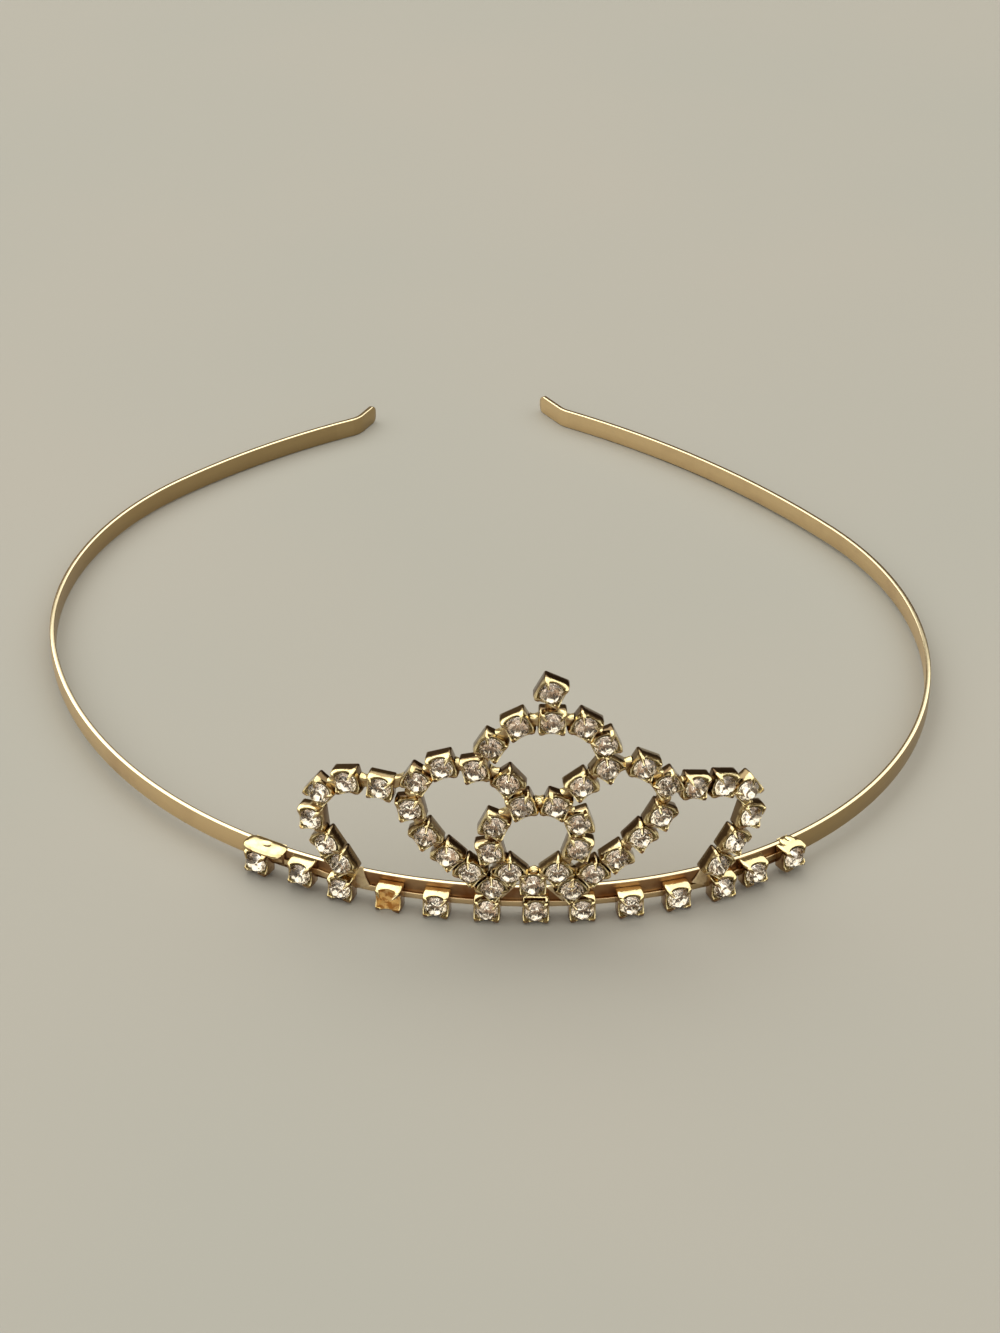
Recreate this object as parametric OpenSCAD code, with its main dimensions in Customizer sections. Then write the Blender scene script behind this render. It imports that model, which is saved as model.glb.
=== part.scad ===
// Mini crown headband: a flat metal headband standing on its edge, with an upright crown
// of claw-set stones soldered to the middle of its front.

/* [Headband strip] */
// Width of the strip, which is its height as it stands on edge
band_w = 3.1; // [2.8:0.1:4]
// Thickness of the strip
band_t = 0.8; // [0.6:0.1:1.4]
// Radius of the rounded corners at the two tips
tip_corner_r = 0.9; // [0.4:0.1:1.1]

/* [Headband bends] */
// Radius of the front bend to the right of the crown's middle, to the middle of the strip
right_front_r = 66.5; // [60:0.5:80]
// Turn of the right front bend, in degrees
right_front_turn = 14; // [8:1:20]
// Radius of the right side bend
right_side_r = 57.5; // [52:0.5:62]
// Turn of the right side bend
right_side_turn = 112.5; // [104:0.5:117]
// Radius of the right back stretch
right_back_r = 140; // [110:1:180]
// Turn of the right back stretch
right_back_turn = 23; // [18:0.5:25]
// Radius of the front bend to the left of the crown's middle
left_front_r = 73.5; // [66:0.5:80]
// Turn of the left front bend
left_front_turn = 76.5; // [68:0.5:78]
// Radius of the left side bend
left_side_r = 53; // [48:0.5:58]
// Turn of the left side bend
left_side_turn = 59.5; // [54:0.5:66]
// Radius of the left back stretch
left_back_r = 117; // [95:1:150]
// Turn of the left back stretch
left_back_turn = 16.5; // [10:0.5:19]

/* [Headband tips] */
// Radius of the kink that turns each tip away from the head
tip_bend_r = 4; // [2:0.5:8]
// Turn of the right tip away from the head
right_tip_turn = 24; // [0:1:40]
// Straight length of the right tip
right_tip_len = 5.3; // [3:0.1:12]
// Turn of the left tip away from the head
left_tip_turn = 33; // [0:1:45]
// Straight length of the left tip
left_tip_len = 3.8; // [3:0.1:12]

/* [Claw cups] */
// Outside width of a square cup
cup_w = 3.7; // [3.6:0.05:4]
// Height of a cup's walls in front of the band
cup_depth = 2.3; // [2.1:0.1:2.6]
// Thickness of a cup's walls
cup_wall = 0.22; // [0.15:0.01:0.25]
// Thickness of a cup's back
cup_back = 0.3; // [0.2:0.05:0.4]
// Radius of the arch cut into each wall between two claws
arch_r = 2; // [1.5:0.1:3]
// Depth of that arch
arch_dip = 0.5; // [0.2:0.1:0.8]
// Width of a claw where it leaves the corner
claw_w = 0.9; // [0.6:0.1:1.1]
// Width of a claw's tip
claw_tip_w = 0.35; // [0.2:0.05:0.5]
// Thickness of a claw
claw_t = 0.2; // [0.15:0.05:0.3]
// Length of a claw over the stone
claw_len = 1.15; // [0.8:0.05:1.3]
// Slope of a claw, in degrees
claw_slope = 28; // [22:1:38]

/* [Stones] */
// Width of a stone across its girdle
stone_d = 3.15; // [2.6:0.05:3.15]
// Facets round a stone
stone_facets = 8; // [8:1:12]
// Width of a stone's table
table_d = 1.85; // [1.4:0.05:2.1]
// Width of the flat at a stone's back point
culet_d = 0.4; // [0.2:0.05:0.8]
// Height of the pointed back below the girdle
pavilion_h = 1.6; // [1.2:0.05:1.65]
// Thickness of the girdle
girdle_t = 0.16; // [0.1:0.01:0.2]
// Height of the crown facets above the girdle
bezel_h = 0.68; // [0.4:0.02:0.8]
// Clearance between a stone and its cup
stone_gap = 0.05; // [0.03:0.01:0.06]

/* [Base chain] */
// Distance between the cups of the base chain
base_pitch = 6.5; // [6.3:0.1:7]
// Height of the lowest cups' middle above the band's lower edge
base_level = 0.5; // [0.3:0.1:1.2]
// Width of the flat webs that join the base cups
strip_w = 1.3; // [1:0.1:1.6]
// Thickness of those webs
strip_t = 0.3; // [0.2:0.05:0.4]
// Clearance between the band and the soldered crown
solder_gap = 0.05; // [0.03:0.01:0.08]
// Thickness of the two end tabs that fold over the band
tab_t = 0.35; // [0.25:0.05:0.5]
// Radius of the tabs' rounded corners
tab_corner_r = 1; // [0.5:0.1:1]
// Reach of the tabs in front of the band
tab_reach = 1.9; // [1.2:0.1:2.1]
// Depth of the tabs' lips behind the band
tab_lip = 1.2; // [0.8:0.1:2]
// Length of the left tab
left_tab_len = 6.8; // [5:0.1:8]
// Length of the right tab
right_tab_len = 2.5; // [2.2:0.1:4]

/* [Crown loops] */
// Width of the webs between the crown's cups
web_w = 1.4; // [1:0.1:1.8]
// Thickness of those webs
web_t = 0.8; // [0.4:0.1:1.2]
// Width of the chain ends soldered flat on the band
foot_w = 2.2; // [1.6:0.1:2.6]
// Length of those ends from the lowest cup's middle
foot_len = 3.8; // [3.2:0.1:4.2]
// Tilt of the single cup at the top, in degrees
finial_tilt = -28; // [-45:1:45]

/* [Hidden] */
$fn = 48;

// The base cups from left to right. A row is the cup's place, in base pitches from the crown's
// middle, and how far it sits above the lowest cups, in widths of the band.
BASE_CUPS = [
    [-6, 0.15], [-4.95, 0.3], [-4.05, 0.05], [-3, 0], [-2, 0], [-0.95, 0], [0.05, 0],
    [1, 0], [2, 0], [3, 0], [4, 0], [4.75, 0.25], [5.7, 0.3]
];
// The base cup that has lost its stone
EMPTY_CUP = 3;
// Middles of the two end tabs, in base pitches from the crown's middle
LEFT_TAB = -5.85;
RIGHT_TAB = 5.6;

// The routes of the crown's chains. A row is one cup: distance along the band's outer face
// from the crown's middle, height above the band's lower edge, and 1 for a cup of this chain
// or 0 for a cup that it shares with another. A fourth number is the angle by which a cup has
// twisted out of its chain's direction.
LEFT_OUTER = [
    [-26.1, 5, 1, -4], [-28.1, 7.8, 1, 4], [-30.1, 11.6, 1], [-28.8, 16.4, 1],
    [-24.9, 19.1, 1, -4], [-20.3, 19.2, 1, -16], [-15.3, 21.1, 0]
];
LEFT_INNER = [
    [-5.5, 4.3, 1], [-8.4, 6.8, 1], [-11.3, 9.2, 1], [-14.3, 12.2, 1], [-16.3, 16.4, 1, 6],
    [-15.3, 21.1, 1], [-12, 23.9, 1], [-7.6, 23.8, 0]
];
CENTRE_RING = [
    [-0.1, 5.1, 1], [-3.1, 7.1, 1], [-5.7, 10.3, 1], [-5.2, 14.7, 1, 4], [-1.6, 18.1, 1],
    [2.9, 18.1, 1], [5.8, 15.1, 1, -4], [5.8, 10.8, 1], [3.1, 7.1, 1, -4]
];
TOP_RING = [
    [2.2, 31.8, 1], [-2.2, 31.2, 1], [-5.6, 27.7, 1, 6], [-7.6, 23.8, 1, -4],
    [-3.4, 21.9, 1, -8], [-1.6, 18.1, 0], [2.9, 18.1, 0], [6.1, 21.3, 1, -4],
    [9.4, 23.9, 1, -12], [9.1, 27.8, 1], [6.5, 30.9, 1, -4]
];
RIGHT_INNER = [
    [5, 4, 1], [7.9, 6.6, 1], [11, 8.8, 1, -4], [14.1, 11.9, 1], [16.7, 14.9, 1, -8],
    [17.5, 19.9, 1, 14], [14.3, 23.4, 1, -4], [9.4, 23.9, 0]
];
RIGHT_OUTER = [
    [25.1, 4.6, 1], [27.4, 7.9, 1], [29.6, 11.5, 1, -6], [28.9, 16.1, 1], [25.4, 18, 1, 4],
    [21.4, 18.7, 1], [17.5, 19.9, 0]
];
FINIAL = [2.1, 36.5];

// Bends of each arm from the crown's middle to its tip: radius and turn
RIGHT_ARM = [
    [right_front_r, right_front_turn], [right_side_r, right_side_turn],
    [right_back_r, right_back_turn], [-tip_bend_r, -right_tip_turn]
];
LEFT_ARM = [
    [left_front_r, left_front_turn], [left_side_r, left_side_turn],
    [left_back_r, left_back_turn], [-tip_bend_r, -left_tip_turn]
];

half_t = band_t / 2;
seat = half_t + solder_gap;
pocket_w = cup_w - 2 * cup_wall;
girdle_z = cup_back + stone_gap + pavilion_h;
table_z = girdle_z + girdle_t + bezel_h;
claw_root = cup_w / sqrt(2) - claw_w / 2 - claw_t / 2 * sin(claw_slope);
claw_top = cup_depth + claw_len * sin(claw_slope) + claw_t / 2 * cos(claw_slope);
// Largest turn from one point of the band's outline to the next, in degrees
arc_step = 2.5;
// Points along each side of a tab
tab_steps = 4;

// Where a bend that starts at [x, y, heading] ends
function after(at, bend) = let(r = bend[0], h = at[2], t = bend[1])
    [at[0] + r * (sin(h + t) - sin(h)), at[1] + r * (cos(h) - cos(h + t)), h + t];
// Where an arm is after its first n bends
function arm_at(arm, n) = n == 0 ? [0, 0, 0] : after(arm_at(arm, n - 1), arm[n - 1]);
function ahead(at, d) = [at[0] + d * cos(at[2]), at[1] + d * sin(at[2]), at[2]];

// The middle line of an arm from the crown's middle to its tip, as points [x, y, heading]
function steps(bend) = ceil(abs(bend[1]) / arc_step);
function middle_line(arm, tip_len) = concat(
    [for (n = [0:len(arm) - 1], k = [0:1:steps(arm[n]) - 1])
        after(arm_at(arm, n), [arm[n][0], arm[n][1] * k / steps(arm[n])])],
    [arm_at(arm, len(arm)), ahead(arm_at(arm, len(arm)), tip_len)]
);
// The same line moved sideways, outwards where d is positive
function beside(line, d) = [for (at = line) [at[0] + d * sin(at[2]), at[1] - d * cos(at[2])]];
function mirrored(points) = [for (p = points) [-p[0], p[1]]];
function backwards(list) = [for (k = [len(list) - 1:-1:0]) list[k]];
function without_first(list) = [for (k = [1:1:len(list) - 1]) list[k]];

// The middle line's place for a distance along the outer face, on the arm that holds it
function face_len(bend) = (bend[0] + half_t) * bend[1] * PI / 180;
function along(arm, d, n = 0) = d <= face_len(arm[n])
    ? after(arm_at(arm, n), [arm[n][0], d / (arm[n][0] + half_t) * 180 / PI])
    : along(arm, d - face_len(arm[n]), n + 1);
function face_at(d) = let(at = along(d < 0 ? LEFT_ARM : RIGHT_ARM, abs(d)), side = d < 0 ? -1 : 1)
    [side * at[0], at[1], side * at[2]];
function base_place(cup) = [cup[0] * base_pitch, base_level + cup[1] * band_w];

right_line = middle_line(RIGHT_ARM, right_tip_len);
left_line = middle_line(LEFT_ARM, left_tip_len);
right_end = right_line[len(right_line) - 1];
left_end = left_line[len(left_line) - 1];

// The whole at rest stands in the middle of its own box
function reach(points, axis) = max([for (p = points) p[axis]]);
function both_sides(line) = concat(beside(line, half_t), beside(line, -half_t));
back_y = max(reach(both_sides(right_line), 1), reach(both_sides(left_line), 1));
middle_x = (reach(both_sides(right_line), 0) - reach(both_sides(left_line), 0)) / 2;
middle_y = (back_y - seat - claw_top) / 2;

// The lowest cups hang below the band, so the whole stands on two of them and leans on its tips
function hang(cup) = cup_w / 2 - base_place(cup)[1];
function back_corner(at) = at[1] - seat * cos(at[2]) + cup_w / 2 * sin(abs(at[2]));
rest_tilt = max([for (cup = BASE_CUPS)
    atan(hang(cup) / (back_y - back_corner(face_at(base_place(cup)[0]))))]);
rest_lift = back_y * sin(rest_tilt);

module at_rest() {
    translate([-middle_x, -middle_y, rest_lift]) rotate([-rest_tilt, 0, 0]) children();
}

// Stands a child on the crown's upright curved face: x along the band, y up, z outwards
module on_face(place, roll = 0) {
    at = face_at(place[0]);
    translate([at[0], at[1], place[1]]) rotate([0, 0, at[2]])
        translate([0, -seat, 0]) rotate([90, 0, 0]) rotate([0, 0, roll]) children();
}

// What is cut off the two corners of a tip that ends at the given place
module tip_corners(end) {
    translate([end[0], end[1], 0]) rotate([0, 0, end[2]]) rotate([90, 0, 0])
        for (lower = [true, false])
            translate([-tip_corner_r, lower ? tip_corner_r : band_w - tip_corner_r, -band_t])
                mirror([0, lower ? 1 : 0, 0]) linear_extrude(2 * band_t) difference() {
                    square(2 * tip_corner_r);
                    circle(tip_corner_r);
                }
}

module headband() {
    color("tan") at_rest() difference() {
        linear_extrude(band_w) polygon(concat(
            beside(right_line, half_t),
            backwards(beside(right_line, -half_t)),
            mirrored(without_first(beside(left_line, -half_t))),
            mirrored(backwards(without_first(beside(left_line, half_t))))
        ));
        tip_corners(right_end);
        mirror([1, 0, 0]) tip_corners(left_end);
    }
}

module claw() {
    translate([claw_root, 0, cup_depth]) rotate([0, claw_slope, 0])
        translate([0, 0, -claw_t / 2]) linear_extrude(claw_t)
            polygon([
                [0, -claw_w / 2], [-claw_len, -claw_tip_w / 2],
                [-claw_len, claw_tip_w / 2], [0, claw_w / 2]
            ]);
}

module cup() {
    difference() {
        translate([-cup_w / 2, -cup_w / 2, 0]) cube([cup_w, cup_w, cup_depth]);
        translate([-pocket_w / 2, -pocket_w / 2, cup_back])
            cube([pocket_w, pocket_w, cup_depth]);
        for (turn = [0, 90])
            rotate([90, 0, turn]) translate([0, cup_depth + arch_r - arch_dip, -cup_w])
                cylinder(r = arch_r, h = 2 * cup_w);
    }
    for (turn = [45:90:315]) rotate([0, 0, turn]) claw();
}

// Direction of a chain's cup i, from the cups on both sides of it and its own twist
function before(route, i, closed) = i > 0 ? i - 1 : closed ? len(route) - 1 : 0;
function next(route, i, closed) = i < len(route) - 1 ? i + 1 : closed ? 0 : i;
function bearing(from, to) = atan2(to[1] - from[1], to[0] - from[0]);
function twist(cup) = len(cup) > 3 ? cup[3] : 0;
function heading(route, i, closed) = twist(route[i])
    + bearing(route[before(route, i, closed)], route[next(route, i, closed)]);

// A flat plate from one cup to the next
module web(from, to, width = web_w, thickness = web_t) {
    gap = norm([to[0] - from[0], to[1] - from[1]]) - cup_w + 2 * cup_wall;
    on_face([(from[0] + to[0]) / 2, (from[1] + to[1]) / 2], bearing(from, to))
        translate([-gap / 2, -width / 2, 0]) cube([gap, width, thickness]);
}

module in_every_cup(route, closed = false) {
    for (i = [0:len(route) - 1])
        if (route[i][2] == 1) on_face(route[i], heading(route, i, closed)) children();
}

module chain(route, closed = false) {
    last = len(route) - 1;
    in_every_cup(route, closed) cup();
    for (i = [0:last - (closed ? 0 : 1)])
        let (to = route[(i + 1) % (last + 1)])
            if (route[i][2] + to[2] > 0) web(route[i], to);
}

// The flattened end of a chain, soldered to the band's face below its lowest cup
module foot(route) {
    on_face(route[0], bearing(route[1], route[0]))
        translate([0, -foot_w / 2, 0]) cube([foot_len, foot_w, strip_t]);
}

module base_chain() {
    for (cup = BASE_CUPS) on_face(base_place(cup)) cup();
    for (i = [1:len(BASE_CUPS) - 1])
        web(base_place(BASE_CUPS[i - 1]), base_place(BASE_CUPS[i]), strip_w, strip_t);
}

// A band along the outer face between two distances, from one offset to another
function ribbon(from, to, inner, outer) = concat(
    [for (k = [0:tab_steps]) beside([face_at(from + (to - from) * k / tab_steps)], outer)[0]],
    [for (k = [tab_steps:-1:0]) beside([face_at(from + (to - from) * k / tab_steps)], inner)[0]]
);

// A plate whose two front corners are rounded
module rounded_plate(length, depth, r) {
    translate([-length / 2 + r, 0]) square([length - 2 * r, depth]);
    translate([-length / 2, r]) square([length, depth - r]);
    for (x = [-length / 2 + r, length / 2 - r]) translate([x, r]) circle(r);
}

// A tab that folds over the band's upper edge: a lip behind, a plate on top, a leg in front
module end_tab(place, length) {
    middle = place * base_pitch;
    from = middle - length;
    to = middle + length;
    inner = -seat - tab_t;
    outer = seat + tab_reach;
    under = band_w + solder_gap;
    at = face_at(middle);
    intersection() {
        union() {
            translate([0, 0, band_w - tab_lip]) linear_extrude(tab_lip + solder_gap + tab_t)
                polygon(ribbon(from, to, inner, -seat));
            translate([0, 0, under]) linear_extrude(tab_t)
                polygon(ribbon(from, to, inner, outer));
            translate([0, 0, base_level]) linear_extrude(under + tab_t - base_level)
                polygon(ribbon(from, to, seat, seat + strip_t));
        }
        translate([at[0], at[1], 0]) rotate([0, 0, at[2]]) translate([0, -outer, 0])
            linear_extrude(2 * band_w) rounded_plate(length, 2 * (outer - inner), tab_corner_r);
    }
}

// The room that a stone takes in its cup, with clearance all round
module stone_room() {
    rim = stone_d / 2 + stone_gap;
    rotate_extrude() polygon([
        [0, cup_back + stone_gap / 2], [culet_d / 2 + stone_gap, cup_back + stone_gap / 2],
        [rim, girdle_z - stone_gap], [rim, girdle_z + girdle_t + stone_gap],
        [table_d / 2 + stone_gap, table_z + stone_gap], [0, table_z + stone_gap]
    ]);
}

module crown_setting() {
    color("goldenrod") at_rest() difference() {
        union() {
            base_chain();
            end_tab(LEFT_TAB, left_tab_len);
            end_tab(RIGHT_TAB, right_tab_len);
            chain(LEFT_OUTER);
            chain(LEFT_INNER);
            chain(CENTRE_RING, closed = true);
            web(CENTRE_RING[1], CENTRE_RING[len(CENTRE_RING) - 1]);
            chain(TOP_RING, closed = true);
            chain(RIGHT_INNER);
            chain(RIGHT_OUTER);
            web(TOP_RING[0], FINIAL);
            on_face(FINIAL, finial_tilt) cup();
            for (route = [LEFT_OUTER, LEFT_INNER, RIGHT_INNER, RIGHT_OUTER]) foot(route);
        }
        union() {
            for (cup = BASE_CUPS) on_face(base_place(cup)) stone_room();
            for (route = [LEFT_OUTER, LEFT_INNER, RIGHT_INNER, RIGHT_OUTER])
                in_every_cup(route) stone_room();
            for (route = [CENTRE_RING, TOP_RING]) in_every_cup(route, closed = true) stone_room();
            on_face(FINIAL, finial_tilt) stone_room();
        }
    }
}

// A cut stone: four rings of points joined by flat facets, with a table and a culet
function ring(d, z) = [for (k = [0:stone_facets - 1])
    let (a = (k + 0.5) * 360 / stone_facets) [d / 2 * cos(a), d / 2 * sin(a), z]];
module stone() {
    n = stone_facets;
    points = concat(
        ring(culet_d, cup_back + stone_gap), ring(stone_d, girdle_z),
        ring(stone_d, girdle_z + girdle_t), ring(table_d, table_z)
    );
    sides = [for (level = [0:2], k = [0:n - 1])
        let (a = level * n + k, b = level * n + (k + 1) % n) [a, a + n, b + n, b]];
    polyhedron(points, concat(
        sides, [[for (k = [0:n - 1]) k]], [[for (k = [n - 1:-1:0]) 3 * n + k]]
    ));
}

module base_stones() {
    color("whitesmoke") at_rest()
        for (i = [0:len(BASE_CUPS) - 1])
            if (i != EMPTY_CUP) on_face(base_place(BASE_CUPS[i])) stone();
}

module chain_stones(route, closed = false) {
    color("whitesmoke") at_rest() in_every_cup(route, closed) stone();
}

module left_outer_stones() { chain_stones(LEFT_OUTER); }
module left_inner_stones() { chain_stones(LEFT_INNER); }
module centre_ring_stones() { chain_stones(CENTRE_RING, closed = true); }
module top_ring_stones() { chain_stones(TOP_RING, closed = true); }
module right_inner_stones() { chain_stones(RIGHT_INNER); }
module right_outer_stones() { chain_stones(RIGHT_OUTER); }
module finial_stone() { color("whitesmoke") at_rest() on_face(FINIAL, finial_tilt) stone(); }

headband();
crown_setting();
base_stones();
left_outer_stones();
left_inner_stones();
centre_ring_stones();
top_ring_stones();
right_inner_stones();
right_outer_stones();
finial_stone();
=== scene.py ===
# %% [markdown]
# # Dressing a mini crown headband
# A costume crown of this kind is made of very few things. A thin metal strip is bent round the
# head, and lengths of cup chain are cut, arched, stood up on the strip and soldered. Cup chain is
# sold by the metre: small square cups in a row, each closed over a cut stone by four claws.
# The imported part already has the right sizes, so this lesson repeats those few sizes and works
# every place out from them, in the maker's order: strip, cups, stones, links, tabs, solder.

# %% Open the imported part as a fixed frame
import math

import bmesh
import bpy
from mathutils import Matrix, Vector, noise


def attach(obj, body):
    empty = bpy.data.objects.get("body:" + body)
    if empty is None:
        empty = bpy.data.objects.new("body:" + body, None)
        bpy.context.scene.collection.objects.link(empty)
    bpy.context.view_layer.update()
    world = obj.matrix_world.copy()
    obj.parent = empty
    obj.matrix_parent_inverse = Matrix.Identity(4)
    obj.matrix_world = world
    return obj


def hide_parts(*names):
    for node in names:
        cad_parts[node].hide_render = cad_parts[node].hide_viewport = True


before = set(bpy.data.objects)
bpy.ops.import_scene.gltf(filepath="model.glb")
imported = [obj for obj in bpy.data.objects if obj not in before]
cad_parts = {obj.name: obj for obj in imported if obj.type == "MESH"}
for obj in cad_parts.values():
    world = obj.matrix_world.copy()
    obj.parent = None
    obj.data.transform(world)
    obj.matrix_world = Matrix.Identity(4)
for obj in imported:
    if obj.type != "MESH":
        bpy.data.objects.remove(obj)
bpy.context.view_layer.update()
scene = bpy.context.scene
MM = 0.001
print("solids in the part:", ", ".join(sorted(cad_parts)))

# %% [markdown]
# ## The camera
# The view looks down at the headband on a table. A long lens keeps the far side of the strip nearly
# as large as the near side. The camera is placed by a distance and an angle from the point that it
# aims at, because those two are what a photographer sets.

# %% Camera
VIEW_AIM = Vector((2.1, -7.5, 0)) * MM
VIEW_DISTANCE = 480 * MM
VIEW_RISE = math.radians(35)
LENS = 114.05
SENSOR = 36


def make_camera():
    data = bpy.data.cameras.new("table_view")
    data.lens = LENS
    data.sensor_width = SENSOR
    data.sensor_fit = "HORIZONTAL"
    camera = bpy.data.objects.new("table_view", data)
    scene.collection.objects.link(camera)
    towards = Vector((0, -math.cos(VIEW_RISE), math.sin(VIEW_RISE)))
    camera.location = VIEW_AIM + VIEW_DISTANCE * towards
    camera.rotation_euler = towards.to_track_quat("Z", "Y").to_euler()
    scene.camera = camera
    return camera


print("camera stands at", [round(c, 3) for c in make_camera().location])

# %% [markdown]
# ## Writing node trees as sums
# Materials and Geometry Nodes are both graphs. Drawn by hand they get wide quickly, and written
# as single calls they get long. Here one class wraps a socket, so that an expression such as
# `1 - mask` adds its own Math node, and one method makes any other node. Settings are set first,
# because a setting can change which sockets a node has.

# %% A socket that takes part in sums
class Wire:
    def __init__(self, nodes, socket):
        self.nodes = nodes
        self.socket = socket

    def math(self, operation, *others):
        return self.nodes.add("ShaderNodeMath", {"operation": operation}, [self, *others])

    def __add__(self, other):
        return self.math("ADD", other)

    def __sub__(self, other):
        return self.math("SUBTRACT", other)

    def __mul__(self, other):
        return self.math("MULTIPLY", other)

    def __truediv__(self, other):
        return self.math("DIVIDE", other)

    def __rsub__(self, other):
        return self.nodes.add("ShaderNodeMath", {"operation": "SUBTRACT"}, [other, self])

    __radd__ = __add__
    __rmul__ = __mul__

    def clamped(self):
        return self.math("MINIMUM", 1).math("MAXIMUM", 0)

    def ramp(self, low, high):
        """0 below low, 1 above high, and straight in between."""
        return ((self - low) / (high - low)).clamped()

    def output(self, name):
        """Another output of the same node."""
        return Wire(self.nodes, self.nodes.pick(self.socket.node.outputs, name))


# %% A tree whose nodes are made in one way
class Nodes:
    def __init__(self, tree):
        self.tree = tree
        tree.nodes.clear()

    def pick(self, sockets, name):
        shown = [s for s in sockets if s.enabled]
        if name is None:
            return shown[0]
        return next(s for s in shown if name in (s.name, s.identifier))

    def add(self, kind, settings=None, inputs=None, output=None):
        node = self.tree.nodes.new(kind)
        for name, value in (settings or {}).items():
            setattr(node, name, value)
        if isinstance(inputs, list):
            pairs = zip([s for s in node.inputs if s.enabled], inputs)
        else:
            pairs = [(self.pick(node.inputs, n), v) for n, v in (inputs or {}).items()]
        for socket, value in pairs:
            if isinstance(value, Wire):
                self.tree.links.new(value.socket, socket)
            else:
                socket.default_value = value
        return Wire(self, self.pick(node.outputs, output)) if node.outputs else node

    def mix(self, amount, low, high):
        """A colour between two colours."""
        return self.add("ShaderNodeMix", {"data_type": "RGBA"},
                        {"Factor": amount, "A": low, "B": high})


# %% How every material starts and ends
def new_material(name):
    """A material, its empty tree, and the piece's own coordinates in that tree."""
    print("material:", name)
    material = bpy.data.materials.new(name)
    material.use_nodes = True
    nodes = Nodes(material.node_tree)
    return material, nodes, nodes.add("ShaderNodeTexCoord", output="Object")


def finish(nodes, **sockets):
    """The surface. The name of a socket is given with _ for its spaces."""
    values = {name.replace("_", " "): value for name, value in sockets.items()}
    surface = nodes.add("ShaderNodeBsdfPrincipled", inputs=values)
    nodes.add("ShaderNodeOutputMaterial", inputs=[surface])


# %% [markdown]
# ## The table and the light
# Polished metal shows hardly any colour of its own: it shows the room. The picture was taken under
# a bright ceiling, with darker walls round it: a face that looks up at the ceiling is cream, and
# the same gold turned to the wall is brown. A ring of lamps could give that, but a sky painted by
# direction is simpler and has no noise. A wide soft window in it, in front of the crown, lights
# what faces the viewer. One large lamp behind gives the shadow that falls towards the camera.

# %% Room
CEILING = (1.0, 0.965, 0.85, 1)
LEFT_WALL = (0.20, 0.15, 0.10, 1)
RIGHT_WALL = (0.075, 0.052, 0.032, 1)
WINDOW = (1.0, 0.99, 0.97, 1)
CEILING_STRENGTH = 1.6
WINDOW_STRENGTH = 2.0
WALL_BLEND = 0.4
WALL_TOP = 0.58
WALL_TOP_AT_SIDE = 0.33
WALL_EDGE = 0.035
WINDOW_LOW = 0.02
WINDOW_HIGH = 0.42
WINDOW_HALF = 0.4
WINDOW_BLUR = 0.1


def make_room():
    world = bpy.data.worlds.new("room")
    scene.world = world
    world.use_nodes = True
    nodes = Nodes(world.node_tree)
    place = nodes.add("ShaderNodeTexCoord", output="Generated")
    across = nodes.add("ShaderNodeSeparateXYZ", inputs=[place], output="X")
    deep, up = across.output("Y"), across.output("Z")
    edge = WALL_TOP - across.math("ABSOLUTE") * (WALL_TOP - WALL_TOP_AT_SIDE)
    ceiling = ((up - edge) / WALL_EDGE + 0.5).clamped()
    window = (up.ramp(WINDOW_LOW, WINDOW_LOW + WINDOW_BLUR)
              * (WINDOW_HIGH - up).ramp(0, WINDOW_BLUR)
              * (WINDOW_HALF - across.math("ABSOLUTE")).ramp(0, WINDOW_BLUR)
              * (0 - deep).ramp(0, WINDOW_BLUR))
    wall = nodes.mix(across.ramp(-WALL_BLEND, WALL_BLEND), LEFT_WALL, RIGHT_WALL)
    colour = nodes.mix(window, nodes.mix(ceiling, wall, CEILING), WINDOW)
    strength = 1 + ceiling * (CEILING_STRENGTH - 1) + window * (WINDOW_STRENGTH - 1)
    light = nodes.add("ShaderNodeBackground", inputs=[colour, strength])
    nodes.add("ShaderNodeOutputWorld", inputs=[light])
    print("nodes in the room's sky:", len(world.node_tree.nodes))


make_room()

# %% Lamp and table
LAMP_AT = Vector((-0.25, 0.42, 0.75))
LAMP_SIZE = 0.8
LAMP_POWER = 1.3
LAMP_COLOUR = (1.0, 0.96, 0.88)
TABLE_COLOUR = (0.33, 0.327, 0.305, 1)
TABLE_WARM = (0.345, 0.332, 0.307, 1)
TABLE_REACH = 6.0
CLOUD_SCALE = 9.0


def make_lamp():
    data = bpy.data.lights.new("ceiling_lamp", "AREA")
    data.size = LAMP_SIZE
    data.energy = LAMP_POWER
    data.color = LAMP_COLOUR
    lamp = bpy.data.objects.new("ceiling_lamp", data)
    lamp.location = LAMP_AT
    lamp.rotation_euler = LAMP_AT.to_track_quat("Z", "Y").to_euler()
    scene.collection.objects.link(lamp)


def make_table():
    mesh = bpy.data.meshes.new("table_top")
    corners = [(-1, -1), (1, -1), (1, 1), (-1, 1)]
    mesh.from_pydata([(x * TABLE_REACH, y * TABLE_REACH, 0) for x, y in corners], [], [range(4)])
    table = bpy.data.objects.new("table_top", mesh)
    scene.collection.objects.link(table)
    material, nodes, place = new_material("pale_table")
    cloud = nodes.add("ShaderNodeTexNoise", inputs={
        "Vector": place, "Scale": CLOUD_SCALE, "Detail": 2.0})
    warm = nodes.mix(cloud.ramp(0.35, 0.65), TABLE_COLOUR, TABLE_WARM)
    finish(nodes, Base_Color=warm, Roughness=0.7)
    mesh.materials.append(material)


make_lamp()
make_table()
scene.view_settings.view_transform = "Standard"

# %% [markdown]
# ## The sizes of the real pieces
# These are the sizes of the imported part. The strip is a flat one of 3.1 by 0.8 mm that stands on
# its edge. A cup is 3.7 mm square, which is what chain with 3.1 mm stones has. All places on the
# crown are given as a maker would mark them on the strip: so far along its outer face from the
# middle, and so high above its lower edge.

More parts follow.
